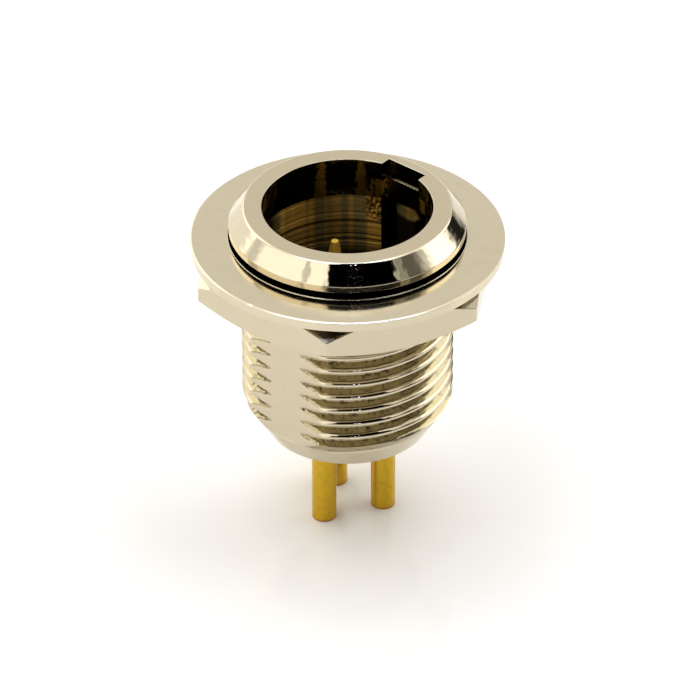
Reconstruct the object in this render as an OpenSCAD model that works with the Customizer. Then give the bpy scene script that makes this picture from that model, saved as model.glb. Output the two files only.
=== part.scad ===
// Three-pole microphone socket for a round panel hole, standing on its solder tails.
// The mating axis is Z: the mouth faces up and the tails end at z = 0.
// The key notch faces +Y, and the locating flat along the barrel faces -Y.

/* [Socket] */
// Clear diameter of the mouth, inside its lip
mouth_d = 8.7; // [8.2:0.1:9]
// Height of the lip at the mouth, measured along the axis
lip_h = 1.07; // [0.7:0.01:1.4]
// Overhang of the lip over the wall of the bore, which the plug latches under
lip_hook = 0.28; // [0.2:0.01:0.4]
// Depth from the top of the rim to the face of the insert
socket_depth = 8.1; // [7:0.1:9]
// Radial play with which the insert's seat clears the mouth that it is pressed in through
seat_play = 0.05; // [0.02:0.01:0.2]

/* [Key] */
// Width of the notch through the lip
notch_w = 2.4; // [1.6:0.1:3]
// Width of the ledge between the notch and the keyway under it
notch_ledge = 0.09; // [0.05:0.01:0.3]
// Width of the keyway down the bore
keyway_w = 2.9; // [2.4:0.1:3.4]
// Depth of the keyway's flat floor below the wall of the bore, along its middle
keyway_depth = 0.04; // [0.02:0.01:0.1]

/* [Rim] */
// Largest diameter of the rim
rim_d = 12.06; // [11.6:0.02:13]
// Diameter of the rim's top face
rim_top_d = 10.58; // [10:0.02:11.4]
// Height of the rim's bevel
bevel_h = 0.94; // [0.6:0.02:1.4]
// Height of the straight land under the bevel
land_h = 0.32; // [0.15:0.01:0.6]
// Height of the land above the flange
neck_h = 0.52; // [0.3:0.01:0.8]
// Diameter at the bottom of the groove under the land
neck_d = 10.4; // [10.2:0.1:11.2]
// Diameter of the low foot that the groove leaves on the flange
foot_d = 11.74; // [11.4:0.02:12.4]
// Height of the foot
foot_h = 0.13; // [0.05:0.01:0.2]
// Width of the relief cut into the flange round the foot
relief_w = 0.14; // [0.1:0.01:0.3]
// Depth of the relief
relief_depth = 0.1; // [0.05:0.01:0.2]

/* [Flange] */
// Diameter of the flange
flange_d = 16; // [14:0.1:19]
// Thickness of the flange
flange_t = 0.5; // [0.4:0.05:1]
// Broken edge at the top of the flange
flange_edge = 0.12; // [0.02:0.02:0.2]

/* [Barrel] */
// Diameter of the barrel over the crests of its thread
barrel_d = 10.9; // [10.6:0.1:11.8]
// Length of the threaded stretch below the flange
thread_len = 8.75; // [7:0.05:11]
// Height of the lead-in cone at the end of the thread
lead_h = 0.65; // [0.4:0.05:1]
// Diameter where the lead-in cone meets the rolled end
lead_d = 10.1; // [9.9:0.1:10.4]
// Height of the end that is rolled inwards under the insert
roll_h = 1.27; // [0.9:0.01:1.6]
// Outer diameter at the bottom of the rolled end
roll_d = 8.6; // [8.2:0.1:9.2]
// Wall at the edge of the rolled end
roll_wall = 0.55; // [0.4:0.05:0.65]
// Wall left between the bore and the locating flat
flat_wall = 0.27; // [0.2:0.01:0.5]

/* [Panel nut] */
// How far the corners of the nut stand out past the flange
nut_reach = 0.17; // [0:0.01:1]
// Thickness of the nut
nut_t = 2.05; // [1.5:0.05:4]
// Angle between the faces of the nut and the bevels at its corners
nut_bevel = 30; // [15:1:45]
// Turn of the nut on the barrel, from the locating flat
nut_turn = 2.6; // [0:0.1:60]
// Countersink at both ends of the nut's hole
nut_sink = 0.3; // [0.1:0.05:0.5]

/* [Insert] */
// Height of the insert's rear face above the bottom of the shell
rear_recess = 0.3; // [0.1:0.05:0.6]

/* [Contacts] */
// Diameter of the circle that the contacts stand on
pitch_d = 3.75; // [3.6:0.05:4.4]
// Diameter of a mating pin
pin_d = 0.9; // [0.7:0.05:1.1]
// Length of a mating pin above the face of the insert
pin_len = 4.85; // [3.5:0.05:6]
// Length of the taper at the end of a mating pin
pin_taper = 2; // [0.5:0.1:2.6]
// Diameter of the flat tip of a mating pin
tip_d = 0.5; // [0.3:0.05:0.6]
// Diameter of the collar that holds a contact in the insert
collar_d = 1.8; // [1.6:0.1:2.2]
// Thickness of the collar
collar_t = 0.8; // [0.5:0.1:1.5]
// Diameter of a solder tail
tail_d = 1.27; // [1.1:0.01:1.5]
// Length of a solder tail below the shell
tail_len = 5.3; // [3:0.1:9]
// Broken edge at the end of a solder tail
tail_edge = 0.06; // [0.02:0.02:0.1]
// Diameter of the solder cup drilled into a tail
cup_d = 0.85; // [0.6:0.05:0.95]
// Depth of the solder cup
cup_depth = 2.2; // [1:0.1:3]

/* [Fits] */
// Radial room between the nut's hole and the crests of the thread
nut_clear = 0.05; // [0.02:0.01:0.1]
// Radial room between the insert and the shell
insert_clear = 0.02; // [0.01:0.01:0.05]
// Radial room between a contact and its hole in the insert
contact_clear = 0.02; // [0.01:0.01:0.05]

/* [Hidden] */
$fn = 96;

// Contacts 1 and 2 stand beside the notch and contact 3 opposite it, as angles from -Y.
contact_count = 3;
contact_turn = 360 / contact_count;

// Levels from the tail ends up to the top of the rim.
z_shell = tail_len;
z_rear = z_shell + rear_recess;
z_lead = z_shell + roll_h;
z_thread = z_lead + lead_h;
z_seat = z_thread + thread_len;
z_flange = z_seat + flange_t;
z_land = z_flange + neck_h;
z_bevel = z_land + land_h;
z_rim = z_bevel + bevel_h;
z_lip = z_rim - lip_h;
z_face = z_rim - socket_depth;

// Radii of the stepped hole through the shell.
mouth_r = mouth_d / 2;
bore_r = mouth_r + lip_hook;
seat_r = mouth_r - seat_play;
insert_r = seat_r - insert_clear;

// Inside of the rolled end, and how far up it the rear face of the insert lies.
roll_r = roll_d / 2 - roll_wall;
roll_slope = (seat_r - roll_r) / roll_h;
rear_r = roll_r + roll_slope * rear_recess - insert_clear;

// Flats inside and outside the shell, from the axis.
keyway_reach = bore_r + keyway_depth;
notch_reach = keyway_reach + notch_ledge;
flat_reach = bore_r + flat_wall;

// The groove under the land, with the foot and the relief below it.
z_foot = z_flange + foot_h;
z_relief = z_flange - relief_depth;
relief_r = foot_d / 2 + relief_w;

// Hexagon of the nut, from its axis to the corners and to the flats.
nut_corner_r = flange_d / 2 + nut_reach;
nut_flat_r = nut_corner_r * cos(30);

// Ends of the contacts' collars and pins.
collar_top = z_rear + collar_t;
pin_tip = z_face + pin_len;

// Overrun of a cut past the face that it opens through.
over = 1;

// Half section of the shell: up the outside, over the rim and down the stepped hole.
shell_section = [
    [roll_r, z_shell],
    [roll_d / 2, z_shell],
    [lead_d / 2, z_lead],
    [barrel_d / 2, z_thread],
    [barrel_d / 2, z_seat],
    [flange_d / 2, z_seat],
    [flange_d / 2, z_flange - flange_edge],
    [flange_d / 2 - flange_edge, z_flange],
    [relief_r, z_flange],
    [relief_r, z_relief],
    [foot_d / 2, z_relief],
    [foot_d / 2, z_foot],
    [neck_d / 2, z_foot],
    [neck_d / 2, z_land],
    [rim_d / 2, z_land],
    [rim_d / 2, z_bevel],
    [rim_top_d / 2, z_rim],
    [mouth_r, z_rim],
    [mouth_r, z_lip],
    [bore_r, z_lip],
    [bore_r, z_face],
    [seat_r, z_face],
    [seat_r, z_lead],
];

// Half section of the insert: its rear edge lies in the rolled end of the shell.
insert_section = [
    [0, z_rear],
    [rear_r, z_rear],
    [insert_r, z_lead],
    [insert_r, z_face],
    [0, z_face],
];

// Half section of one contact: solder cup, tail, collar and tapered pin.
contact_section = [
    [0, cup_depth],
    [cup_d / 2, cup_depth],
    [cup_d / 2, 0],
    [tail_d / 2 - tail_edge, 0],
    [tail_d / 2, tail_edge],
    [tail_d / 2, z_rear],
    [collar_d / 2, z_rear],
    [collar_d / 2, collar_top],
    [pin_d / 2, collar_top],
    [pin_d / 2, pin_tip - pin_taper],
    [tip_d / 2, pin_tip],
    [0, pin_tip],
];

// Straight notch through the lip.
module key_notch() {
    translate([-notch_w / 2, 0, z_lip])
        cube([notch_w, notch_reach, lip_h + over]);
}

// Slot with a flat floor, from the lip down to the insert.
module keyway() {
    translate([-keyway_w / 2, 0, z_face])
        cube([keyway_w, keyway_reach, z_lip - z_face]);
}

// Everything outside the flat, from the bottom of the shell up to the flange.
module locating_flat() {
    translate([-barrel_d / 2, -flat_reach - barrel_d, z_shell - over])
        cube([barrel_d, barrel_d, z_seat - z_shell + over]);
}

module shell() {
    color("#cfc8b8")
        difference() {
            rotate_extrude() polygon(shell_section);
            key_notch();
            keyway();
            locating_flat();
        }
}

// Round-bevelled blank that trims the corners of the nut at both faces.
module nut_blank() {
    drop = (nut_corner_r - nut_flat_r) * tan(nut_bevel);
    rotate_extrude()
        polygon([
            [0, 0],
            [nut_flat_r, 0],
            [nut_corner_r, drop],
            [nut_corner_r, nut_t - drop],
            [nut_flat_r, nut_t],
            [0, nut_t],
        ]);
}

// Hole of the nut with a countersink at each end.
module nut_hole() {
    hole_r = barrel_d / 2 + nut_clear;
    rotate_extrude()
        polygon([
            [0, -over],
            [hole_r + nut_sink + over, -over],
            [hole_r, nut_sink],
            [hole_r, nut_t - nut_sink],
            [hole_r + nut_sink + over, nut_t + over],
            [0, nut_t + over],
        ]);
}

module panel_nut() {
    color("#cdc5b4")
        translate([0, 0, z_seat - nut_t])
            rotate(nut_turn)
                difference() {
                    intersection() {
                        cylinder(h = nut_t, r = nut_corner_r, $fn = 6);
                        nut_blank();
                    }
                    nut_hole();
                }
}

// Puts its children on the pitch circle at an angle from -Y towards +X.
module at_contact(turn) {
    rotate(turn)
        translate([0, -pitch_d / 2, 0])
            children();
}

// Stepped hole of one contact: the collar seats on the step.
module contact_hole() {
    translate([0, 0, z_rear - over])
        cylinder(h = collar_t + over, d = collar_d + 2 * contact_clear);
    translate([0, 0, z_rear])
        cylinder(h = z_face - z_rear + over, d = pin_d + 2 * contact_clear);
}

module insulator() {
    color("#1b1a18")
        difference() {
            rotate_extrude() polygon(insert_section);
            for (i = [1 : contact_count])
                at_contact(-i * contact_turn) contact_hole();
        }
}

module contact(number) {
    color("#c9a227")
        at_contact(-number * contact_turn)
            rotate_extrude() polygon(contact_section);
}

shell();
panel_nut();
insulator();
contact(1);  // contact_1
contact(2);  // contact_2
contact(3);  // contact_3
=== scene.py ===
import math

import bmesh
import bpy
import numpy as np
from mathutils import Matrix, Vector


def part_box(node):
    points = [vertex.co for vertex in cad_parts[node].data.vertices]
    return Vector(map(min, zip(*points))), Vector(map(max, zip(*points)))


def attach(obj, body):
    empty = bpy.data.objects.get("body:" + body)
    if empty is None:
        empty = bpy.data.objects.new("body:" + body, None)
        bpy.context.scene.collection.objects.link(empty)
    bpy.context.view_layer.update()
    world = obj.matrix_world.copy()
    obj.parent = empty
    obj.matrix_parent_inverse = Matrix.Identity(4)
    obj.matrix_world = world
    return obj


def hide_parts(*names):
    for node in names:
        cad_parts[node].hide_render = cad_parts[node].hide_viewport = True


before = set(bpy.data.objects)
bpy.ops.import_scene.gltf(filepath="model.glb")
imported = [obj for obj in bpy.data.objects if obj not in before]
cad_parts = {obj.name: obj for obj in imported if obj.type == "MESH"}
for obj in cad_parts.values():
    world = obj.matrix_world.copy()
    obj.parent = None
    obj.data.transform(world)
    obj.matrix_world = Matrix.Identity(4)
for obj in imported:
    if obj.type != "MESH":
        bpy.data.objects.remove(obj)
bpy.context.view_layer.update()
mm = 0.001  # every size below is in millimetres
print("frame loaded:", sorted(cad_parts))


def nodeBox(name):
    # lowest and highest corner of a solid, in millimetres
    low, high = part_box(name)
    return np.array(low) / mm, np.array(high) / mm


shellLow, shellHigh = nodeBox("shell")
nutLow, nutHigh = nodeBox("panel_nut")
insertLow, insertHigh = nodeBox("insulator")


def planAngles(count, edges, beside=0.3):
    # even steps round the circle, plus the degrees at which an edge has to lie, measured from -Y
    # towards +X; an even step that lies nearer to an edge than the share beside of a step gives way to
    # it, and the last angle closes the ring
    step = 2 * np.pi / count
    even = np.arange(count) * step
    fixed = np.unique(np.radians(edges) % (2 * np.pi))
    if len(fixed):
        even = even[np.abs(even[:, None] - fixed).min(1) > beside * step]
    ring = np.sort(np.concatenate([even, fixed]))
    return np.append(ring, ring[0] + 2 * np.pi)


def roundedRows(corners, ease, steps=4, hold=0.02, easeShare=0.4, holdShare=0.08):
    # corners is an array of corner, column, (radius, height). Each inner corner becomes a short parabola
    # that starts and ends on its two sides, at the distance ease from the corner, and one more point on
    # each side, farther by hold, keeps the flat beside it flat. Both are at most a share of the shorter
    # side, so a side of no length closes its corners to one point.
    here, last, after = corners[1:-1], corners[:-2], corners[2:]
    lastLen = np.linalg.norm(last - here, axis=-1, keepdims=True)
    nextLen = np.linalg.norm(after - here, axis=-1, keepdims=True)
    shortest = np.minimum(lastLen, nextLen)
    cut = np.minimum(ease, easeShare * shortest)
    extra = np.minimum(hold, holdShare * shortest)
    tiny = 1e-9  # in place of a length of none
    back = (last - here) / np.maximum(lastLen, tiny)
    ahead = (after - here) / np.maximum(nextLen, tiny)
    s = np.linspace(0, 1, steps).reshape(-1, 1, 1, 1)
    curve = here + (1 - s) ** 2 * back * cut + s ** 2 * ahead * cut
    rows = np.concatenate([(here + back * (cut + extra))[None], curve,
                           (here + ahead * (cut + extra))[None]])
    rows = rows.swapaxes(0, 1).reshape(-1, *corners.shape[1:])
    return np.concatenate([corners[:1], rows, corners[-1:]])


def section(columns, *points):
    # one corner of a section per point; a radius or height may differ from column to column
    full = np.ones(columns)
    return np.stack([np.stack([r * full, z * full], -1) for r, z in points])


meshLimits = {
    "merge": 0.0002,  # points nearer to each other than this become one
    "thin": 0.00001,  # faces thinner than this go
    "sharp": 38,  # degrees, an edge that turns by more stays sharp
}


def turnedPiece(name, rows, angles, centre=(0, 0), closed=True, limits=meshLimits):
    # carries the rows of (radius, height) round the axis at centre: x is radius times the sine of the
    # angle, y is minus radius times its cosine. Points that fall together are merged, which closes the
    # seam, the poles and the rows that were clipped to one level.
    if closed:
        rows = np.concatenate([rows, rows[:1]])
    radius, height = rows[..., 0], rows[..., 1]
    points = np.stack([centre[0] + radius * np.sin(angles), centre[1] - radius * np.cos(angles),
                       height], -1) * mm
    index = np.arange(radius.size).reshape(radius.shape)
    faces = np.stack([index[:-1, :-1], index[:-1, 1:], index[1:, 1:], index[1:, :-1]], -1)
    mesh = bpy.data.meshes.new(name)
    mesh.from_pydata(points.reshape(-1, 3).tolist(), [], faces.reshape(-1, 4).tolist())
    work = bmesh.new()
    work.from_mesh(mesh)
    bmesh.ops.remove_doubles(work, verts=work.verts, dist=limits["merge"] * mm)
    bmesh.ops.dissolve_degenerate(work, edges=work.edges, dist=limits["thin"] * mm)
    work.to_mesh(mesh)
    work.free()
    mesh.polygons.foreach_set("use_smooth", np.ones(len(mesh.polygons), bool))
    mesh.set_sharp_from_angle(angle=math.radians(limits["sharp"]))
    piece = bpy.data.objects.new(name, mesh)
    bpy.context.scene.collection.objects.link(piece)
    print(name, len(mesh.polygons), "faces")
    return piece


# one thread serves the barrel and the nut
thread = {
    "crestR": 5.45,
    "pitch": 0.805,
    "depth": 0.49,
    "crestFlat": 0.16,
    "flank": 30,  # degrees from the plane across the axis
    "crestZ": 12.54,  # height of one crest ...
    "crestTurn": 41.4,  # ... at this angle
    "crestSoft": 0.07,  # how far the corners of the crest are worn round ...
    "rootSoft": 0.05,  # ... and those of the root
    # rows on each side of a crest, as shares of the pitch: more at crest and root than down the flank
    "rows": (0.025, 0.0625, 0.1, 0.19, 0.28, 0.375, 0.44),
}


def threadRadius(height, angles):
    # distance along the axis from the nearest crest of the right-hand helix, turned into depth down the
    # flank; both ends of the flank run out in a hyperbola instead of a corner
    phase = (height - thread["crestZ"]) / thread["pitch"]
    phase = phase - (angles - math.radians(thread["crestTurn"])) / (2 * np.pi)
    away = np.abs(phase - np.round(phase)) * thread["pitch"]
    fall = (away - thread["crestFlat"] / 2) / math.tan(math.radians(thread["flank"]))
    fall = (fall + np.hypot(fall, thread["crestSoft"])) / 2
    left = thread["depth"] - fall
    return thread["crestR"] - thread["depth"] + (left + np.hypot(left, thread["rootSoft"])) / 2


def threadRows(lowest, highest, angles):
    # heights of rows that follow the helix, from more than a turn too low to a turn too high, clipped to
    # the threaded stretch
    side = np.array(thread["rows"])
    within = np.concatenate([-side[::-1], side])
    pitch = thread["pitch"]
    first = math.floor((lowest - thread["crestZ"]) / pitch) - 2
    final = math.ceil((highest - thread["crestZ"]) / pitch) + 1
    rows = (np.arange(first, final + 1)[:, None] + within).reshape(-1, 1)
    rise = (angles - math.radians(thread["crestTurn"])) / (2 * np.pi)
    return np.clip(thread["crestZ"] + pitch * (rows + rise), lowest, highest)


shellSizes = {
    "flangeThick": 0.5, "flangeEdgeW": 0.09, "flangeEdgeH": 0.035, "flangeSoft": 0.01,
    "underStart": 0.1,  # the flat under the flange starts this far outside the thread
    "dish": 0.1,  # rise of the flange from its edge to the foot of the neck
    "footH": 0.135, "footR": 6.08,
    "neckH": 0.49, "neckR": 5.2,
    "landH": 0.35, "rimR": 6.03, "rimTopR": 5.29, "rimSoft": 0.08,
    "lipH": 1.07, "mouthR": 4.35, "boreR": 4.63, "seatR": 4.3,
    "notchW": 2.4, "notchReach": 4.76,
    "keywayW": 2.9, "keywayReach": 4.67,
    "leadH": 0.65, "leadR": 5.05,
    "runOut": 0.2,  # the thread has run out this far below the lead-in cone
    "rollH": 1.27, "rollR": 4.3, "rollInnerR": 3.75,
    "flatReach": 4.9,
    "flatStep": 0.6,  # degrees between the two columns at each edge of the flat
    "edge": 0.03,
    "nicks": (2.7, 38.4, 55.7),  # degrees from -Y, dents in the edge of the flange
    "nickW": 0.05, "nickDepth": 0.04,
    "columns": 180,
}

boreRings = {
    "under": 1.28,  # the bore is smooth for this far below the lip
    "wallR": 4.67,
    "pitch": 0.43, "depth": 0.04, "width": 0.04,
    "shallow": 0.4,  # every other ring has this share of the depth
    "rows": (-2, -0.8, 0, 0.8, 2),  # across a ring, in widths
    "above": 0.02, "below": 0.05,  # plain wall over the rings and under them
    "litPatch": (0.15, -0.38),  # middle of a painted pool of light, a leaf on the keyway's floor, x and height
    "litPatchW": 1.9, "litPatchH": 0.95, "litPatchSolid": 0.6,  # it fades from this share of its reach on
    "burrW": 1.0, "burrH": 1.5, "burrR": 0.22,  # torn metal along one edge of the keyway
    "burrWaves": ((17, 7), (-9, 13), (31, 19)),  # radians to the millimetre, round the bore and down it
    "burrLeast": 0.1,  # lower waves leave the wall whole
    "burrRow": 0.035, "burrPast": 0.3,  # between rows where it is torn, and how far they go on below
    "burrColumns": 17,
    "chipShadeOff": (0.2, 0.5),  # painted shade among the chips lies round this place beside the keyway and below the first ring ...
    "chipShadeShare": (0.8, 0.7), "chipShadeSolid": 0.5,  # ... as far as these shares of the torn metal
}


def shellLevels(size=shellSizes):
    # heights of the shell's steps, from both ends of its solid and the seat of the nut
    top, foot, under = shellHigh[2], shellLow[2], nutHigh[2]
    flange = under + size["flangeThick"]
    land = flange + size["neckH"]
    lip = top - size["lipH"]
    lead = foot + size["rollH"]
    return {
        "top": top, "lip": lip, "ring": lip - boreRings["under"], "face": insertHigh[2],
        "bevel": land + size["landH"], "land": land, "flange": flange, "under": under,
        "thread": lead + size["leadH"], "lead": lead, "foot": foot,
    }


levels = shellLevels()


def slotRadius(angles, width, reach, least):
    # inner radius round a slot that faces +Y and has a flat floor: the nearer of its side wall, half its
    # width over the sine, and its floor, its reach over the cosine, but never less than the round wall
    fromSlot = angles - np.pi
    leastSine, leastCosine = 1e-6, 0.1  # keep both quotients finite
    wall = width / 2 / np.maximum(np.abs(np.sin(fromSlot)), leastSine)
    floor = reach / np.maximum(np.cos(fromSlot), leastCosine)
    return np.maximum(np.where(np.cos(fromSlot) > 0, np.minimum(wall, floor), 0), least)


def slotTurns(width, reach, least):
    # degrees from the middle of a slot to the inner corner and to the outer edge of its side walls
    return [math.degrees(math.atan(width / 2 / reach)), math.degrees(math.asin(width / 2 / least))]


def ringedWall(wall, angles, keyEdge, size=boreRings):
    # the wall of the bore with a narrow groove, a bell curve, at each turn of the boring tool; every
    # other one is shallower. Beside the keyway the tool tore up chips: where two crossed waves and a
    # finer third are high they stand out from the wall, less and less away from the edge.
    topZ, footZ, pitch = levels["ring"], levels["face"], size["pitch"]
    fine = np.arange(0, size["burrH"] + size["burrPast"], size["burrRow"])
    turns = np.arange(math.ceil(fine[-1] / pitch), math.floor((topZ - footZ) / pitch))
    across = size["width"] * np.array(size["rows"])
    down = np.concatenate([fine, ((turns[:, None] + 0.5) * pitch + across).ravel()])[:, None]
    turn = down / pitch
    away = (turn - np.floor(turn) - 0.5) * pitch
    share = np.where(np.floor(turn) % 2 == 0, 1, size["shallow"])
    cut = size["depth"] * share * np.exp(-(away / size["width"]) ** 2)
    cut = np.where(wall < size["wallR"], cut, 0)
    aside = (angles - keyEdge) * shellSizes["boreR"]
    slow, crossed, finer = [np.sin(a * aside + d * down) for a, d in size["burrWaves"]]
    waves = slow * crossed + finer / 2
    fade = np.clip(1 - aside / size["burrW"], 0, 1) * np.clip(1 - down / size["burrH"], 0, 1)
    torn = np.where(aside > 0, np.sqrt(fade), 0)
    chip = size["burrR"] * np.clip(waves - size["burrLeast"], 0, 1) * torn
    return np.stack([np.maximum(wall, size["wallR"]) + cut - chip, topZ - down + 0 * angles], -1)


def makeShell(size=shellSizes):
    # one closed section carried round the axis: out under the flange, up the neck and the rim, down the
    # bore, round the rolled end and up the thread; at slots, flat and nicks its radii change with the angle
    z = levels
    flangeR = shellHigh[0]

    # columns lie on the edges of the notch, the keyway and the flat, and closer at the chips and nicks
    notchSlot = size["notchW"], size["notchReach"], size["mouthR"]
    keySlot = size["keywayW"], size["keywayReach"], size["boreR"]
    turns = np.array(slotTurns(*notchSlot) + slotTurns(*keySlot))
    flatOut = math.degrees(math.acos(size["flatReach"] / thread["crestR"]))
    flats = np.array([flatOut, flatOut - size["flatStep"]])
    keyEdge = 180 + turns[3]
    chipSteps = np.arange(1, boreRings["burrColumns"] + 1) / boreRings["burrColumns"]
    chips = keyEdge + np.degrees(chipSteps * boreRings["burrW"] / size["boreR"])
    nickSteps = np.degrees(size["nickW"] / flangeR) * np.array([-2, -1, 0, 1, 2])
    nicks = np.array(size["nicks"])[:, None] + nickSteps
    edges = [180 + turns, 180 - turns, flats, -flats, chips, nicks.ravel()]
    angles = planAngles(size["columns"], np.concatenate(edges))

    notch = slotRadius(angles, *notchSlot)
    keyway = slotRadius(angles, *keySlot)
    leastCosine = 0.2  # beyond it the flat lies outside the barrel
    flat = size["flatReach"] / np.maximum(np.cos(angles), leastCosine)
    # each nick is a bell curve along the edge, and its floor stays on the cone of the dished flange
    aside = (angles % (2 * np.pi) - np.radians(size["nicks"])[:, None]) * flangeR / size["nickW"]
    dent = size["nickDepth"] * np.exp(-aside ** 2).sum(0)
    slope = size["dish"] / (flangeR - size["flangeEdgeW"] - size["footR"])

    # outline of the barrel before the thread is cut: rolled end, lead-in cone, straight stretch
    outlineZ = np.array([z["foot"], z["lead"], z["thread"], z["under"]])
    outlineR = np.array([size["rollR"], size["leadR"], thread["crestR"], thread["crestR"]])
    threadFoot = z["lead"] - size["runOut"]
    threadFootR = np.minimum(np.interp(threadFoot, outlineZ, outlineR), flat)
    outer = section(
        len(angles),
        (thread["crestR"] + size["underStart"], z["under"]),
        (flangeR, z["under"]),
        (flangeR, z["flange"] - size["flangeEdgeH"] - dent),
        (flangeR - size["flangeEdgeW"] - dent, z["flange"] + slope * dent),
        (size["footR"], z["flange"] + size["dish"]),
        (size["footR"], z["flange"] + size["footH"]),
        (size["neckR"], z["flange"] + size["footH"]),
        (size["neckR"], z["land"]),
        (size["rimR"], z["land"]),
        (size["rimR"], z["bevel"]),
        (size["rimTopR"], z["top"]),
        (notch, z["top"]),
        (notch, z["lip"]),
        (keyway, z["lip"]),
        (keyway, z["ring"] + boreRings["above"]),
    )
    # the lower edge of the flange's bevel is sharp, and the upper edge of the rim's is worn
    soft = np.full((len(outer) - 2, 1, 1), size["edge"])
    flangeCorner, rimCorner = 1, 9  # counted from the second corner, the first that is rounded
    soft[flangeCorner] = size["flangeSoft"]
    soft[rimCorner] = size["rimSoft"]
    inner = section(
        len(angles),
        (keyway, z["face"] + boreRings["below"]),
        (keyway, z["face"]),
        (size["seatR"], z["face"]),
        (size["seatR"], z["lead"]),
        (size["rollInnerR"], z["foot"]),
        (np.minimum(size["rollR"], flat), z["foot"]),
        (threadFootR, threadFoot),
    )
    rings = ringedWall(keyway, angles, math.radians(keyEdge))
    heights = threadRows(threadFoot, z["under"], angles)
    radius = np.minimum(threadRadius(heights, angles), np.interp(heights, outlineZ, outlineR))
    barrel = np.stack([np.minimum(radius, flat), heights], -1)
    rows = [roundedRows(outer, soft), rings, roundedRows(inner, size["edge"]), barrel]
    return turnedPiece("turnedShell", np.concatenate(rows), angles)


shell = makeShell()


nutSizes = {
    "turn": 2.6,  # degrees, from a flat facing -Y
    "bevel": 30,
    "faceGap": 0.05,  # how far the round edge of each face lies inside the flats
    "sink": 0.3,
    "clear": 0.05,
    "cornerSoft": 0.12,
    "cornerColumns": (-0.9, -0.45, 0, 0.45, 0.9),  # degrees from a corner
    "edge": 0.03,
    "columns": 240,
}


def hexRadius(angles, flatR, soft):
    # distance from the axis to a hexagon, flat over the cosine of the angle from the middle of a side;
    # near a corner, an arc of the radius soft that touches both sides
    fromCorner = (angles + np.pi / 6) % (np.pi / 3) - np.pi / 6
    side = flatR / np.cos(np.pi / 6 - np.abs(fromCorner))
    centre = (flatR - soft) / math.cos(np.pi / 6)
    reach = math.atan2(soft / 2, centre + soft * math.cos(np.pi / 6))
    inside = np.maximum(soft ** 2 - (centre * np.sin(fromCorner)) ** 2, 0)
    arc = centre * np.cos(fromCorner) + np.sqrt(inside)
    return np.where(np.abs(fromCorner) < reach, arc, side)


def nutRadii(size=nutSizes):
    # the box gives how far the turned hexagon reaches in y, which is at a corner beside its flat;
    # returns the distance to a flat and to the round edge of each face
    cornerR = nutHigh[1] / math.cos(math.radians(30 - size["turn"]))
    flatR = cornerR * math.cos(math.radians(30))
    return flatR, flatR - size["faceGap"]


def makeNut(size=nutSizes):
    # one closed section: the hexagon outside, whose ends drop by the bevel's slope for each step beyond
    # the round face, and the rows of the thread inside
    low, high = nutLow[2], nutHigh[2]
    turn = math.radians(size["turn"])
    flatR, faceR = nutRadii(size)
    cornerTurns = size["turn"] + 30 + 60 * np.arange(6)
    angles = planAngles(size["columns"], (cornerTurns[:, None] + np.array(size["cornerColumns"])).ravel())
    side = hexRadius(angles - turn - np.pi / 6, flatR, size["cornerSoft"])
    drop = (side - faceR) * math.tan(math.radians(size["bevel"]))
    holeR = thread["crestR"] + size["clear"]
    sinkR = holeR + size["sink"]
    corners = section(
        len(angles),
        (holeR, low + size["sink"]),
        (sinkR, low),
        (faceR, low),
        (side, low + drop),
        (side, high - drop),
        (faceR, high),
        (sinkR, high),
        (holeR, high - size["sink"]),
    )
    body = roundedRows(corners, size["edge"])
    heights = threadRows(low + size["sink"], high - size["sink"], angles)[::-1]
    hole = np.stack([threadRadius(heights, angles) + size["clear"], heights], -1)
    return turnedPiece("hexagonNut", np.concatenate([body, hole]), angles)


nut = makeNut()


contactSizes = {
    "pinR": 0.45, "pinTaper": 2.0,
    "tipR": 0.19, "coneR": 0.315, "coneH": 0.65,  # the tip of the pin is a steeper cone
    "collarR": 0.9, "collarT": 0.8,
    "tailR": 0.635, "cupR": 0.425, "cupDepth": 2.2,
    "edge": 0.06, "edgeSteps": 5,
    "columns": 64,
}


def makeContact(number, size=contactSizes):
    # one profile from the floor of the solder cup, out and up to the tip of the pin, turned about its axis
    low, high = nodeBox(f"contact_{number}")
    centre = (low[:2] + high[:2]) / 2
    angles = planAngles(size["columns"], [])
    rearZ = insertLow[2]
    corners = section(
        len(angles),
        (0, low[2] + size["cupDepth"]),
        (size["cupR"], low[2] + size["cupDepth"]),
        (size["cupR"], low[2]),
        (size["tailR"], low[2]),
        (size["tailR"], rearZ),
        (size["collarR"], rearZ),
        (size["collarR"], rearZ + size["collarT"]),
        (size["pinR"], rearZ + size["collarT"]),
        (size["pinR"], high[2] - size["pinTaper"]),
        (size["coneR"], high[2] - size["coneH"]),
        (size["tipR"], high[2]),
        (0, high[2]),
    )
    rows = roundedRows(corners, size["edge"], size["edgeSteps"])
    return turnedPiece(f"goldContact{number}", rows, angles, centre, closed=False)


contacts = [makeContact(number) for number in (1, 2, 3)]


def linear(code):
    # sRGB hex to linear red, green, blue and full alpha
    channels = np.array([int(code[i:i + 2], 16) for i in (0, 2, 4)]) / 255
    curve = np.where(channels <= 0.04045, channels / 12.92, ((channels + 0.055) / 1.055) ** 2.4)
    return (*curve.tolist(), 1.0)


def addNode(tree, kind, inputs=None, **settings):
    # one node with its settings; each input is a plain value or another node's output
    made = tree.nodes.new(kind)
    for name, value in settings.items():
        setattr(made, name, value)
    for socket, value in (inputs or {}).items():
        if isinstance(value, bpy.types.NodeSocket):
            tree.links.new(value, made.inputs[socket])
        else:
            made.inputs[socket].default_value = value
    return made


def newMaterial(name):
    # a material with an empty tree
    made = bpy.data.materials.new(name)
    made.use_nodes = True
    made.node_tree.nodes.clear()
    return made, made.node_tree


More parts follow.
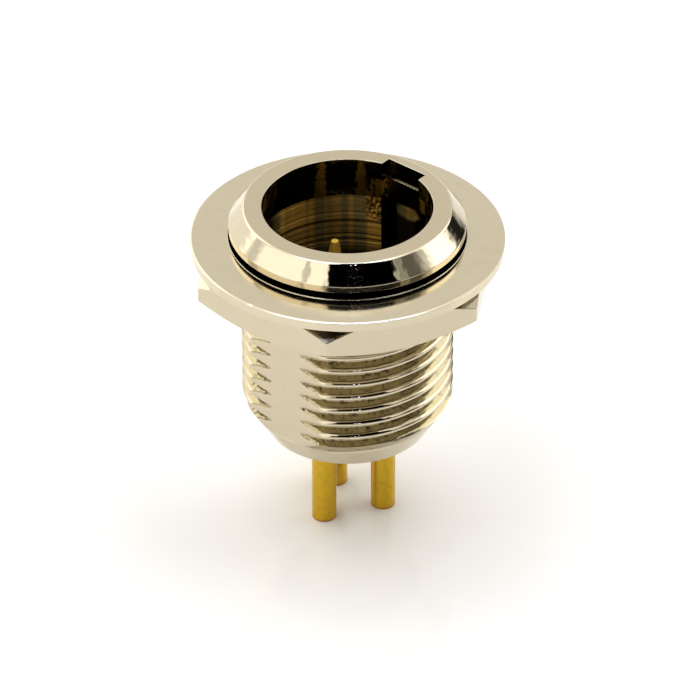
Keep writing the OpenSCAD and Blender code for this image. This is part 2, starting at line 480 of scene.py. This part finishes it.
nickelFinish = {
    "plate": "d2c7ae",  # warm white of bright nickel
    "dull": "b9aa8a", "dullFaces": 0.3,  # where the plating has dulled, and how far it has on rim and flat
    "valley": "a89c7c", "valleyIn": (0.14, 0.04),  # greyer tint down the flanks of the thread, and where that ends
    "bored": "e0b050", "streak": "94834c",  # bare brass where the boring tool ran, and greyer streaks; the brighter bands between them are painted reflections of the gold pins
    "shadeAndPasteTone": "20180c",  # dark tone for painted shade and for specks of polishing paste; how far it dims ...
    "mouthShade": 0.75, "sideShade": 0.97,  # ... the smooth band under the mouth, and the bore's sides, both as painted shade
    "bevelShade": 0.0,  # ... the upper bevel on one side of the nut, as painted shade over its reflection
    "litPatchClean": 0.55,  # how much less painted shade lies on the painted lit leaf than on the rest of the keyway
    "lowShade": (2.2, 3.2),  # painted shade low in the bore thins out between these heights above the insert
    "unshadedTurn": 40,  # degrees from -Y, the line along which the bore is left without painted shade
    "sideShadeFade": (2.6, 3.2),  # along it, the painted shade on the bore's sides thins out between these distances
    "chipShade": (0.1, 0.03, 0.9),  # among the chips the painted shade starts and is full this far off the wall; how far
    "speckIn": (0.4, 0.12),  # specks thin out between these depths below the crest of the thread
    "polished": 0.05, "satin": 0.13, "torn": 0.5,
    "grooved": 0.85,  # how much farther the bore scatters light along the axis than round it
    "speckPitch": 0.3, "blotPitch": 0.16,  # across a speck of paste in the thread, and across a blot of painted shade among the chips
    "streakPitch": 1.1,  # across a streak down the bore
    "ringPitch": 0.2, "ringDepth": 0.08,  # lines that the boring tool left between its rings
    "turnedPitch": 0.09, "turnedDepth": 0.0005,  # finer on the lathe; drawn coarser so that it shows
    "peelPitch": 0.3, "peelDepth": 0.006, "calm": 0.15,  # waves of polishing, and their share on cut faces
    "mottle": 0.7,  # across a cloud in the plating
    # from where to where on a noise pattern, between nothing and one, each of these comes in, and how far
    "line": (0.52, 0.66, 0.85), "blot": (0.46, 0.52, 1.0), "speck": (0.55, 0.66, 0.85),
    "cloud": (0.45, 0.8, 0.15), "streaks": (0.42, 0.58, 1.0),
    "grain": (0.3, 0.7, 0.9, 1.12),  # the same for the share of the roughness
}


def turnedPlace(tree):
    # object coordinates, whole and apart, and the distance from the axis
    place = addNode(tree, "ShaderNodeTexCoord").outputs["Object"]
    x, y, height = addNode(tree, "ShaderNodeSeparateXYZ", {0: place}).outputs
    level = addNode(tree, "ShaderNodeCombineXYZ", {0: x, 1: y}).outputs[0]
    radius = addNode(tree, "ShaderNodeVectorMath", {0: level}, operation="LENGTH").outputs["Value"]
    return {"place": place, "x": x, "y": y, "height": height, "radius": radius}


# how far past its faces, or short of the next ones, a zone ends
zoneMargins = {
    "slack": 0.01,
    "notchTop": 0.02, "bandTop": 0.04, "bandOut": 0.02,
    "rimTop": 0.005, "flangeLow": 0.05,
    "grooveOut": 0.008, "grooveTop": 0.002,
    "rootIn": 0.04, "crestOut": 0.15, "flatIn": 0.1,
    "bevelIn": 0.03, "bevelLow": 0.015,
}


def faceZones(tree, at, finish, margin=zoneMargins):
    # the faces of shell and nut by where they lie: each zone is one on its faces and none elsewhere
    x, y, height, radius = at["x"], at["y"], at["height"], at["radius"]

    def zone(*limits):
        # one where every value lies between its two limits in millimetres
        inside = 1.0
        for value, low, high in limits:
            over = addNode(tree, "ShaderNodeMath", {0: value, 1: low * mm}, operation="GREATER_THAN")
            under = addNode(tree, "ShaderNodeMath", {0: value, 1: high * mm}, operation="LESS_THAN")
            both = addNode(tree, "ShaderNodeMath", {0: over.outputs[0], 1: under.outputs[0]},
                           operation="MULTIPLY")
            inside = addNode(tree, "ShaderNodeMath", {0: both.outputs[0], 1: inside},
                             operation="MULTIPLY").outputs[0]
        return inside

    def oval(middle, halves, solid):
        # distance from the middle, (x, height), in half widths and half heights: one up to the share
        # solid, none from the edge on
        moved = addNode(tree, "ShaderNodeVectorMath",
                        {0: at["place"], 1: (-middle[0] * mm, 0, -middle[1] * mm)}, operation="ADD")
        scaled = addNode(tree, "ShaderNodeVectorMath",
                         {0: moved.outputs[0], 1: (1 / (halves[0] * mm), 0, 1 / (halves[1] * mm))},
                         operation="MULTIPLY")
        away = addNode(tree, "ShaderNodeVectorMath", {0: scaled.outputs[0]}, operation="LENGTH")
        return addNode(tree, "ShaderNodeMapRange",
                       {"Value": away.outputs["Value"], "From Min": solid, "From Max": 1.0,
                        "To Min": 1.0, "To Max": 0.0}).outputs[0]

    size, z, rings, slack = shellSizes, levels, boreRings, margin["slack"]
    within, between, past = 3.9, 5.0, 99.0  # inside the bore, in the wall round it, and off the part
    keyY, chipY = 4.2, 3.0  # the keyway and the chips lie beyond these
    keyX = size["keywayW"] / 2 + slack
    dishZ = z["flange"] + size["dish"]
    rootR = thread["crestR"] - thread["depth"] - margin["rootIn"]
    outsideR = thread["crestR"] + margin["crestOut"]
    flatY = slack - size["flatReach"]
    inBore = (height, z["face"], z["ring"])
    onBarrel = (height, z["lead"], z["under"] - slack)
    zones = {
        "bore": zone((radius, within, rings["wallR"] + rings["depth"]), inBore),
        "keyway": zone((radius, within, between), (x, -keyX, keyX), (y, keyY, past), inBore),
        "chips": zone((radius, within, between), (x, -past, -keyX), (y, chipY, past), inBore),
        "notch": zone((radius, size["mouthR"] + slack, between),
                      (height, z["lip"] - slack, z["top"] - margin["notchTop"])),
        "band": zone((radius, within, size["boreR"] + margin["bandOut"]),
                     (height, z["ring"], z["top"] - margin["bandTop"])),
        "rimTop": zone((height, z["top"] - margin["rimTop"], past)),
        "flangeTop": zone((radius, size["footR"], past),
                          (height, z["flange"] - margin["flangeLow"], dishZ + slack)),
        "groove": zone((radius, between, size["footR"] - margin["grooveOut"]),
                       (height, dishZ, z["land"] + margin["grooveTop"])),
        "barrel": zone((radius, rootR, outsideR), onBarrel, (y, flatY, past)),
        "flat": zone((radius, size["flatReach"] - margin["flatIn"], outsideR), onBarrel, (y, -past, flatY)),
    }

    # a painted pool of light on the keyway's floor: a leaf that takes the bore's brass and rings, and less
    # painted shade
    leafX, leafZ = rings["litPatch"]
    leaf = oval((leafX, z["ring"] + leafZ), (rings["litPatchW"] / 2, rings["litPatchH"] / 2), rings["litPatchSolid"])
    leaf = addNode(tree, "ShaderNodeMath", {0: leaf, 1: zones["keyway"]}, operation="MULTIPLY").outputs[0]
    zones["bore"] = addNode(tree, "ShaderNodeMath", {0: zones["bore"], 1: leaf},
                            operation="MAXIMUM").outputs[0]
    zones["keyway"] = addNode(tree, "ShaderNodeMath",
                              {0: leaf, 1: -finish["litPatchClean"], 2: zones["keyway"]},
                              operation="MULTIPLY_ADD").outputs[0]
    # painted shade among the chips is held to an oval beside the keyway
    besideKey, belowRing = rings["chipShadeOff"]
    wide, tall = rings["chipShadeShare"]
    around = oval((-size["keywayW"] / 2 - besideKey, z["ring"] - belowRing),
                  (wide * rings["burrW"], tall * rings["burrH"]), rings["chipShadeSolid"])
    zones["chips"] = addNode(tree, "ShaderNodeMath", {0: zones["chips"], 1: around},
                             operation="MULTIPLY").outputs[0]
    # on the nut's bevel, height plus radius times the slope stays the same
    faceR = nutRadii()[1]
    slant = math.tan(math.radians(nutSizes["bevel"]))
    lean = addNode(tree, "ShaderNodeMath", {0: radius, 1: slant, 2: height}, operation="MULTIPLY_ADD")
    bevelZ = nutHigh[2] + faceR * slant - margin["bevelLow"]
    zones["nutBevel"] = zone((radius, faceR + margin["bevelIn"], past), (x, 0, past),
                             (lean.outputs[0], bevelZ, past))
    return zones


def shadeAndPasteCover(tree, at, zones, lines, finish):
    # how far painted shade and paste darken the metal: painted shade in the groove and the keyway, low in
    # the bore, among the chips, down its sides, under the mouth and on one side of the nut's bevel; darker
    # along the bore's lines; and specks of paste in the thread
    # painted shade low in the bore, above the insert, and darker along the tool's lines
    full, none = [(levels["face"] + over) * mm for over in finish["lowShade"]]
    low = addNode(tree, "ShaderNodeMapRange",
                  {"Value": at["height"], "From Min": full, "From Max": none, "To Min": 1.0, "To Max": 0.0})
    start, full, most = finish["line"]
    line = addNode(tree, "ShaderNodeMapRange",
                   {"Value": lines, "From Min": start, "From Max": full, "To Max": most})
    low = addNode(tree, "ShaderNodeMath", {0: low.outputs[0], 1: line.outputs[0]}, operation="MAXIMUM")
    low = addNode(tree, "ShaderNodeMath", {0: low.outputs[0], 1: zones["bore"]}, operation="MULTIPLY")

    # painted shade on the wall between the chips, in blots
    start, full, most = finish["chipShade"]
    gap = addNode(tree, "ShaderNodeMapRange",
                  {"Value": at["radius"], "From Min": (boreRings["wallR"] - start) * mm,
                   "From Max": (boreRings["wallR"] - full) * mm, "To Max": most})
    blot = addNode(tree, "ShaderNodeTexNoise",
                   {"Vector": at["place"], "Scale": 1 / (finish["blotPitch"] * mm), "Detail": 2.0})
    start, full, most = finish["blot"]
    blot = addNode(tree, "ShaderNodeMapRange",
                   {"Value": blot.outputs[0], "From Min": start, "From Max": full, "To Max": most})
    gap = addNode(tree, "ShaderNodeMath", {0: gap.outputs[0], 1: blot.outputs[0]}, operation="MULTIPLY")
    gap = addNode(tree, "ShaderNodeMath", {0: gap.outputs[0], 1: zones["chips"]}, operation="MULTIPLY")

    # painted shade on the bore's sides, left and right of one line through the axis
    turn = math.radians(finish["unshadedTurn"])
    along = addNode(tree, "ShaderNodeVectorMath",
                    {0: at["place"], 1: (-math.sin(turn), math.cos(turn), 0)}, operation="DOT_PRODUCT")
    along = addNode(tree, "ShaderNodeMath", {0: along.outputs["Value"]}, operation="ABSOLUTE")
    full, none = finish["sideShadeFade"]
    side = addNode(tree, "ShaderNodeMapRange",
                   {"Value": along.outputs[0], "From Min": full * mm, "From Max": none * mm,
                    "To Min": finish["sideShade"], "To Max": 0.0})
    side = addNode(tree, "ShaderNodeMath", {0: side.outputs[0], 1: zones["bore"]}, operation="MULTIPLY")

    # painted shade on the smooth band under the mouth and in the notch
    mouthShade = addNode(tree, "ShaderNodeMath", {0: zones["band"], 1: zones["notch"]}, operation="MAXIMUM")
    mouthShade = addNode(tree, "ShaderNodeMath", {0: mouthShade.outputs[0], 1: finish["mouthShade"]}, operation="MULTIPLY")
    # painted shade over the reflection on one side of the nut's bevel
    bevelShade = addNode(tree, "ShaderNodeMath", {0: zones["nutBevel"], 1: finish["bevelShade"]},
                    operation="MULTIPLY")

    speck = addNode(tree, "ShaderNodeTexNoise",
                    {"Vector": at["place"], "Scale": 1 / (finish["speckPitch"] * mm), "Detail": 3.0})
    start, full, most = finish["speck"]
    speck = addNode(tree, "ShaderNodeMapRange",
                    {"Value": speck.outputs[0], "From Min": start, "From Max": full, "To Max": most})
    full, none = [(thread["crestR"] - depth) * mm for depth in finish["speckIn"]]
    root = addNode(tree, "ShaderNodeMapRange",
                   {"Value": at["radius"], "From Min": full, "From Max": none,
                    "To Min": 1.0, "To Max": 0.0})
    root = addNode(tree, "ShaderNodeMath", {0: root.outputs[0], 1: zones["barrel"]}, operation="MULTIPLY")
    speck = addNode(tree, "ShaderNodeMath", {0: speck.outputs[0], 1: root.outputs[0]}, operation="MULTIPLY")

    # painted shade fills the groove under the land and the keyway; the other masks join it by the most
    shadeAndPaste = zones["groove"]
    for shadeAndPasteMask in (zones["keyway"], *(made.outputs[0] for made in (low, gap, side, mouthShade, bevelShade, speck))):
        shadeAndPaste = addNode(tree, "ShaderNodeMath", {0: shadeAndPaste, 1: shadeAndPasteMask}, operation="MAXIMUM").outputs[0]
    return shadeAndPaste


def nickelTint(tree, at, zones, cloud, shadeAndPaste, finish):
    # plate, duller in clouds and on rim and flat, and greyer down the thread; brass in the bore, whose
    # brighter bands are painted reflections of the gold pins; painted shade and paste over all of it
    start, full, most = finish["cloud"]
    dull = addNode(tree, "ShaderNodeMapRange",
                   {"Value": cloud, "From Min": start, "From Max": full, "To Max": most})
    faces = addNode(tree, "ShaderNodeMath", {0: zones["rimTop"], 1: zones["flat"]}, operation="MAXIMUM")
    dull = addNode(tree, "ShaderNodeMath",
                   {0: faces.outputs[0], 1: finish["dullFaces"], 2: dull.outputs[0]},
                   operation="MULTIPLY_ADD")
    tint = addNode(tree, "ShaderNodeMix",
                   {0: dull.outputs[0], 6: linear(finish["plate"]), 7: linear(finish["dull"])},
                   data_type="RGBA")
    full, none = [(thread["crestR"] - depth) * mm for depth in finish["valleyIn"]]
    flank = addNode(tree, "ShaderNodeMapRange",
                    {"Value": at["radius"], "From Min": full, "From Max": none,
                     "To Min": 1.0, "To Max": 0.0})
    flank = addNode(tree, "ShaderNodeMath", {0: flank.outputs[0], 1: zones["barrel"]}, operation="MULTIPLY")
    tint = addNode(tree, "ShaderNodeMix",
                   {0: flank.outputs[0], 6: tint.outputs[2], 7: linear(finish["valley"])}, data_type="RGBA")
    # greyer streaks over the brass; the brighter bands left between them are painted reflections of the
    # gold pins
    streak = addNode(tree, "ShaderNodeTexNoise",
                     {"Vector": at["place"], "Scale": 1 / (finish["streakPitch"] * mm)},
                     noise_dimensions="2D")
    start, full, most = finish["streaks"]
    streak = addNode(tree, "ShaderNodeMapRange",
                     {"Value": streak.outputs[0], "From Min": start, "From Max": full, "To Max": most})
    brass = addNode(tree, "ShaderNodeMix",
                    {0: streak.outputs[0], 6: linear(finish["bored"]), 7: linear(finish["streak"])},
                    data_type="RGBA")
    tint = addNode(tree, "ShaderNodeMix", {0: zones["bore"], 6: tint.outputs[2], 7: brass.outputs[2]},
                   data_type="RGBA")
    # painted shade and specks of paste darken towards the dark tone
    tint = addNode(tree, "ShaderNodeMix", {0: shadeAndPaste, 6: tint.outputs[2], 7: linear(finish["shadeAndPasteTone"])},
                   data_type="RGBA")
    return tint.outputs[2]


def nickelRelief(tree, at, zones, face, lathe, lines, finish):
    # fine turning marks and the waves of polishing, and in the bore the tool's lines instead; the waves
    # are all but gone from the faces and the flat, which were cut last
    fine = addNode(tree, "ShaderNodeTexNoise",
                   {"Vector": lathe, "Scale": 1 / (finish["turnedPitch"] * mm), "Detail": 2.0},
                   noise_dimensions="2D")
    fine = addNode(tree, "ShaderNodeMath", {0: fine.outputs[0], 1: finish["turnedDepth"]},
                   operation="MULTIPLY")
    peel = addNode(tree, "ShaderNodeTexNoise",
                   {"Vector": at["place"], "Scale": 1 / (finish["peelPitch"] * mm), "Detail": 0.0})
    calm = addNode(tree, "ShaderNodeMath", {0: face, 1: zones["flat"]}, operation="MAXIMUM")
    waves = addNode(tree, "ShaderNodeMix",
                    {0: calm.outputs[0], 2: finish["peelDepth"], 3: finish["calm"] * finish["peelDepth"]})
    relief = addNode(tree, "ShaderNodeMath",
                     {0: peel.outputs[0], 1: waves.outputs[0], 2: fine.outputs[0]},
                     operation="MULTIPLY_ADD")
    deep = addNode(tree, "ShaderNodeMath", {0: lines, 1: finish["ringDepth"]}, operation="MULTIPLY")
    relief = addNode(tree, "ShaderNodeMix", {0: zones["bore"], 2: relief.outputs[0], 3: deep.outputs[0]})
    bump = addNode(tree, "ShaderNodeBump", {"Strength": 1.0, "Distance": mm, "Height": relief.outputs[0]})
    return bump.outputs[0]


def brightNickel(name, finish=nickelFinish):
    # turned brass with bright nickel: mirror on the cone and the thread, a satin sheen on the faces that
    # the lathe tool crossed, grey flanks with specks of paste in the thread, and a bore left as it was cut,
    # with painted shade, a painted lit leaf and painted reflections of the gold pins
    made, tree = newMaterial(name)
    at = turnedPlace(tree)
    zones = faceZones(tree, at, finish)
    face = addNode(tree, "ShaderNodeMath", {0: zones["rimTop"], 1: zones["flangeTop"]},
                   operation="MAXIMUM").outputs[0]
    lathe = addNode(tree, "ShaderNodeCombineXYZ", {0: at["radius"], 1: at["height"]}).outputs[0]
    lines = addNode(tree, "ShaderNodeTexNoise",
                    {"Vector": lathe, "Scale": 1 / (finish["ringPitch"] * mm), "Detail": 5.0,
                     "Roughness": 0.62}, noise_dimensions="2D").outputs[0]
    cloud = addNode(tree, "ShaderNodeTexNoise",
                    {"Vector": at["place"], "Scale": 1 / (finish["mottle"] * mm), "Detail": 4.0}).outputs[0]
    shadeAndPaste = shadeAndPasteCover(tree, at, zones, lines, finish)

    rough = addNode(tree, "ShaderNodeMix", {0: face, 2: finish["polished"], 3: finish["satin"]})
    rough = addNode(tree, "ShaderNodeMix", {0: zones["bore"], 2: rough.outputs[0], 3: finish["torn"]})
    start, full, least, most = finish["grain"]
    grain = addNode(tree, "ShaderNodeMapRange",
                    {"Value": cloud, "From Min": start, "From Max": full, "To Min": least, "To Max": most})
    rough = addNode(tree, "ShaderNodeMath", {0: rough.outputs[0], 1: grain.outputs[0]},
                    operation="MULTIPLY")
    axis = addNode(tree, "ShaderNodeCombineXYZ", {2: 1.0})
    spread = addNode(tree, "ShaderNodeMath", {0: zones["bore"], 1: finish["grooved"]}, operation="MULTIPLY")
    metal = addNode(tree, "ShaderNodeBsdfPrincipled",
                    {"Base Color": nickelTint(tree, at, zones, cloud, shadeAndPaste, finish), "Metallic": 1.0,
                     "Roughness": rough.outputs[0], "Anisotropic": spread.outputs[0],
                     "Tangent": axis.outputs[0],
                     "Normal": nickelRelief(tree, at, zones, face, lathe, lines, finish)})
    addNode(tree, "ShaderNodeOutputMaterial", {"Surface": metal.outputs[0]})
    return made


goldFinish = {
    "plate": "d0aa32", "pinHighlightPlate": "f6cc58",  # of the tails, and paler on the pins as a painted highlight
    "worn": "9a6f22", "thin": (0.5, 0.8, 0.35),  # dull specks: from where to where in the noise, how far
    "cut": "b4621e", "contactShadeH": 0.16,  # painted contact shade at the foot of the tails, and how high it reaches
    "rough": 0.36, "pinRough": 0.7, "roughSpan": (-0.06, 0.1),
    "speck": 0.25, "speckDepth": 0.01,
}


def platedGold(name, finish=goldFinish):
    # thin gold over turned brass: deep yellow, satin, with dull specks where the plating is thin; paler
    # pins as a painted highlight, and painted contact shade at the foot of the tails
    made, tree = newMaterial(name)
    place = addNode(tree, "ShaderNodeTexCoord").outputs["Object"]
    height = addNode(tree, "ShaderNodeSeparateXYZ", {0: place}).outputs[2]
    pin = addNode(tree, "ShaderNodeMath", {0: height, 1: insertHigh[2] * mm}, operation="GREATER_THAN")
    speck = addNode(tree, "ShaderNodeTexNoise",
                    {"Vector": place, "Scale": 1 / (finish["speck"] * mm), "Detail": 3.0})
    start, full, most = finish["thin"]
    thin = addNode(tree, "ShaderNodeMapRange",
                   {"Value": speck.outputs[0], "From Min": start, "From Max": full, "To Max": most})
    # painted contact shade along the lowest stretch of each tail
    contactShade = addNode(tree, "ShaderNodeMapRange",
                   {"Value": height, "From Max": finish["contactShadeH"] * mm, "To Min": 1.0, "To Max": 0.0})
    # paler on the pins: painted highlight
    tint = addNode(tree, "ShaderNodeMix",
                   {0: pin.outputs[0], 6: linear(finish["plate"]), 7: linear(finish["pinHighlightPlate"])},
                   data_type="RGBA")
    tint = addNode(tree, "ShaderNodeMix",
                   {0: thin.outputs[0], 6: tint.outputs[2], 7: linear(finish["worn"])}, data_type="RGBA")
    tint = addNode(tree, "ShaderNodeMix",
                   {0: contactShade.outputs[0], 6: tint.outputs[2], 7: linear(finish["cut"])}, data_type="RGBA")
    satin = addNode(tree, "ShaderNodeMix", {0: pin.outputs[0], 2: finish["rough"], 3: finish["pinRough"]})
    least, most = finish["roughSpan"]
    grain = addNode(tree, "ShaderNodeMapRange",
                    {"Value": speck.outputs[0], "To Min": least, "To Max": most})
    rough = addNode(tree, "ShaderNodeMath", {0: satin.outputs[0], 1: grain.outputs[0]}, operation="ADD")
    bump = addNode(tree, "ShaderNodeBump",
                   {"Strength": 0.15, "Distance": finish["speckDepth"] * mm, "Height": speck.outputs[0]})
    metal = addNode(tree, "ShaderNodeBsdfPrincipled",
                    {"Base Color": tint.outputs[2], "Metallic": 1.0, "Roughness": rough.outputs[0],
                     "Normal": bump.outputs[0]})
    addNode(tree, "ShaderNodeOutputMaterial", {"Surface": metal.outputs[0]})
    return made


plasticFinish = {
    "dark": "0b0a08", "pale": "1a1814",
    "rough": 0.6, "roughSpan": (-0.1, 0.1), "sheen": 0.2,
    "grain": 0.15, "grainDepth": 0.02,
}


def mouldedPlastic(name, finish=plasticFinish):
    # black glass-filled thermoplastic: fine matt grain from the mould, slightly paler fibres
    made, tree = newMaterial(name)
    place = addNode(tree, "ShaderNodeTexCoord").outputs["Object"]
    grain = addNode(tree, "ShaderNodeTexNoise",
                    {"Vector": place, "Scale": 1 / (finish["grain"] * mm), "Detail": 3.0})
    tint = addNode(tree, "ShaderNodeMix",
                   {0: grain.outputs[0], 6: linear(finish["dark"]), 7: linear(finish["pale"])},
                   data_type="RGBA")
    least, most = [finish["rough"] + span for span in finish["roughSpan"]]
    rough = addNode(tree, "ShaderNodeMapRange",
                    {"Value": grain.outputs[0], "To Min": least, "To Max": most})
    bump = addNode(tree, "ShaderNodeBump",
                   {"Strength": 0.3, "Distance": finish["grainDepth"] * mm, "Height": grain.outputs[0]})
    plastic = addNode(tree, "ShaderNodeBsdfPrincipled",
                      {"Base Color": tint.outputs[2], "Roughness": rough.outputs[0],
                       "Specular IOR Level": finish["sheen"], "Normal": bump.outputs[0]})
    addNode(tree, "ShaderNodeOutputMaterial", {"Surface": plastic.outputs[0]})
    return made


# the nut is greyer and less polished, and one side of its upper bevel has painted shade
nutFinish = {**nickelFinish, "plate": "ccc1a8", "polished": 0.16, "satin": 0.16, "bevelShade": 0.6}

shellMetal = brightNickel("brightNickelShell")
nutMetal = brightNickel("brightNickelNut", nutFinish)
goldMetal = platedGold("goldPlatedBrass")
blackPlastic = mouldedPlastic("mouldedBlackPlastic")

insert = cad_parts["insulator"]
insert.data.materials.clear()
insert.data.materials.append(blackPlastic)

for piece, metal, nodeName, slotName in [
    (shell, shellMetal, "shell", "shell_nickel"),
    (nut, nutMetal, "panel_nut", "nut_nickel"),
    (contacts[0], goldMetal, "contact_1", "contact_gold"),
    (contacts[1], goldMetal, "contact_2", "contact_gold"),
    (contacts[2], goldMetal, "contact_3", "contact_gold"),
]:
    piece.data.materials.append(metal)
    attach(piece, "root")
    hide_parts(nodeName)
print("pieces dressed")


view = {
    "azimuth": 40.0,  # degrees to the right of -Y
    "elevation": 34.4,
    "distance": 300.0,
    "focal": 5921.0,  # pixels of the 700 pixel frame
    "frame": 700,
    "aimPixel": (347.4, 235.2),  # where the axis meets the top of the flange
    "sensor": 36, "clip": (10, 20000),
}


def makeCamera(size=view):
    # stands back from the top of the flange along the line of sight, and moves across it until that
    # point falls on its pixel
    turn, tilt = math.radians(size["azimuth"]), math.radians(size["elevation"])
    right = np.array([math.cos(turn), math.sin(turn), 0])
    ahead = np.array([-math.sin(turn) * math.cos(tilt), math.cos(turn) * math.cos(tilt), -math.sin(tilt)])
    up = np.cross(right, ahead)
    aim = np.array([0, 0, levels["flange"]])
    perPixel = size["distance"] / size["focal"]
    across = (size["aimPixel"][0] - size["frame"] / 2) * perPixel
    above = (size["frame"] / 2 - size["aimPixel"][1]) * perPixel
    lens = bpy.data.cameras.new("camera")
    lens.sensor_width = size["sensor"]
    lens.lens = size["sensor"] * size["focal"] / size["frame"]
    lens.clip_start, lens.clip_end = np.array(size["clip"]) * mm
    camera = bpy.data.objects.new("camera", lens)
    camera.location = (aim - across * right - above * up - size["distance"] * ahead) * mm
    camera.rotation_euler = (math.pi / 2 - tilt, 0, turn)
    bpy.context.scene.collection.objects.link(camera)
    bpy.context.scene.camera = camera


makeCamera()

floorSizes = {
    "half": 900.0, "tone": "f9f5ee",
    "rough": 0.07, "roughSpan": (-0.03, 0.03), "grain": 3.0, "sheen": 0.4,
}


def makeFloor(size=floorSizes):
    # one square of pale card at height zero
    half = size["half"] * mm
    corners = [(-half, -half, 0), (half, -half, 0), (half, half, 0), (-half, half, 0)]
    mesh = bpy.data.meshes.new("floor")
    mesh.from_pydata(corners, [], [(0, 1, 2, 3)])
    floor = bpy.data.objects.new("floor", mesh)
    bpy.context.scene.collection.objects.link(floor)
    made, tree = newMaterial("paleCard")
    place = addNode(tree, "ShaderNodeTexCoord").outputs["Object"]
    grain = addNode(tree, "ShaderNodeTexNoise", {"Vector": place, "Scale": 1 / (size["grain"] * mm)})
    least, most = [size["rough"] + span for span in size["roughSpan"]]
    rough = addNode(tree, "ShaderNodeMapRange",
                    {"Value": grain.outputs[0], "To Min": least, "To Max": most})
    card = addNode(tree, "ShaderNodeBsdfPrincipled",
                   {"Base Color": linear(size["tone"]), "Roughness": rough.outputs[0],
                    "Specular IOR Level": size["sheen"]})
    addNode(tree, "ShaderNodeOutputMaterial", {"Surface": card.outputs[0]})
    mesh.materials.append(made)


makeFloor()

studio = {
    "wall": ("fffdf8", 0.95),  # pale walls all round
    "seen": ("ffffff", 1.0),  # what the camera itself sees
    # painted over the walls in this order: degrees from the camera to the right, and degrees up, each as
    # out, in, in, out; then the tone and the brightness
    "patches": [
        ((-180, -179, 179, 180), (42, 50, 78, 84), "fffefb", 1.4),  # ceiling ...
        ((-180, -179, 179, 180), (78, 84, 100, 101), "ffffff", 0.15),  # ... dark right above
        ((-180, -179, 179, 180), (62, 68, 78, 84), "dbe7ff", 3.8),  # light in the ceiling, a ring
        ((-100, -92, -48, -46), (8, 14, 46, 52), "fffdf6", 1.7),  # left window ...
        ((-42, -40, -24, -22), (8, 14, 46, 52), "fffdf6", 1.7),  # ... and its second pane
        ((-165, -150, -112, -104), (-14, -8, 10, 16), "fffdf6", 1.25),  # left wall, farther back ...
        ((-170, -155, -112, -104), (10, 16, 46, 52), "fffdf6", 2.1),  # ... and its lamp
        ((-22, -20, 50, 53), (-12, -8, 20, 27), "fffdf6", 0.2),  # dim foot of the front wall ...
        ((-22, -20, 50, 53), (20, 27, 80, 86), "ffffff", 0.0),  # ... and a dark room above it
        ((51, 54, 58, 62), (-12, -8, 44, 50), "fffdf0", 0.38),  # its right side, in two steps
        ((58, 62, 72, 86), (-12, -8, 44, 50), "fffdf0", 0.16),
        ((84, 92, 132, 140), (8, 14, 46, 50), "fffefb", 2.3),  # right soft box ...
        ((98, 104, 118, 122), (47, 50, 58, 62), "fffdf0", 0.4),  # ... and the dim wall over it
        ((110, 116, 140, 148), (-10, -6, 6, 12), "ffffff", 0.02),  # dark foot of the right wall
        ((4, 4.5, 5.5, 6), (45.5, 46, 48, 48.5), "d8ccff", 40.0),  # two small lamps
        ((10, 10.5, 12, 12.5), (45.5, 46, 48, 48.5), "d8ccff", 40.0),
    ],
}


def makeStudio(size=studio):
    # the direction of a ray as two angles, and over plain walls one soft-edged patch after the other
    world = bpy.data.worlds.new("studio")
    world.use_nodes = True
    bpy.context.scene.world = world
    tree = world.node_tree
    tree.nodes.clear()
    turn = math.radians(view["azimuth"])
    ray = addNode(tree, "ShaderNodeTexCoord").outputs["Generated"]
    front = addNode(tree, "ShaderNodeVectorMath",
                    {0: ray, 1: (math.sin(turn), -math.cos(turn), 0)}, operation="DOT_PRODUCT")
    side = addNode(tree, "ShaderNodeVectorMath",
                   {0: ray, 1: (math.cos(turn), math.sin(turn), 0)}, operation="DOT_PRODUCT")
    rise = addNode(tree, "ShaderNodeSeparateXYZ", {0: ray})
    across = addNode(tree, "ShaderNodeMath", {0: side.outputs["Value"], 1: front.outputs["Value"]},
                     operation="ARCTAN2")
    up = addNode(tree, "ShaderNodeMath", {0: rise.outputs[2]}, operation="ARCSINE")

    def window(span, source):
        # one between the two inner angles, none outside the outer two, smooth between
        a, b, c, d = np.radians(span)
        opens = addNode(tree, "ShaderNodeMapRange", {"Value": source, "From Min": a, "From Max": b},
                        interpolation_type="SMOOTHSTEP")
        shuts = addNode(tree, "ShaderNodeMapRange",
                        {"Value": source, "From Min": c, "From Max": d, "To Min": 1.0, "To Max": 0.0},
                        interpolation_type="SMOOTHSTEP")
        both = addNode(tree, "ShaderNodeMath", {0: opens.outputs[0], 1: shuts.outputs[0]},
                       operation="MULTIPLY")
        return both.outputs[0]

    def paint(tone, level):
        # the linear tone times the brightness
        return (*(level * channel for channel in linear(tone)[:3]), 1.0)

    total = paint(*size["wall"])
    for acrossSpan, upSpan, tone, level in size["patches"]:
        shape = addNode(tree, "ShaderNodeMath",
                        {0: window(acrossSpan, across.outputs[0]), 1: window(upSpan, up.outputs[0])},
                        operation="MULTIPLY")
        total = addNode(tree, "ShaderNodeMix", {0: shape.outputs[0], 6: total, 7: paint(tone, level)},
                        data_type="RGBA").outputs[2]
    path = addNode(tree, "ShaderNodeLightPath")
    total = addNode(tree, "ShaderNodeMix",
                    {0: path.outputs["Is Camera Ray"], 6: total, 7: paint(*size["seen"])}, data_type="RGBA")
    glow = addNode(tree, "ShaderNodeBackground", {"Color": total.outputs[2], "Strength": 1.0})
    addNode(tree, "ShaderNodeOutputWorld", {"Surface": glow.outputs[0]})


makeStudio()
bpy.context.scene.view_settings.view_transform = "Standard"
print("camera, floor and light ready")
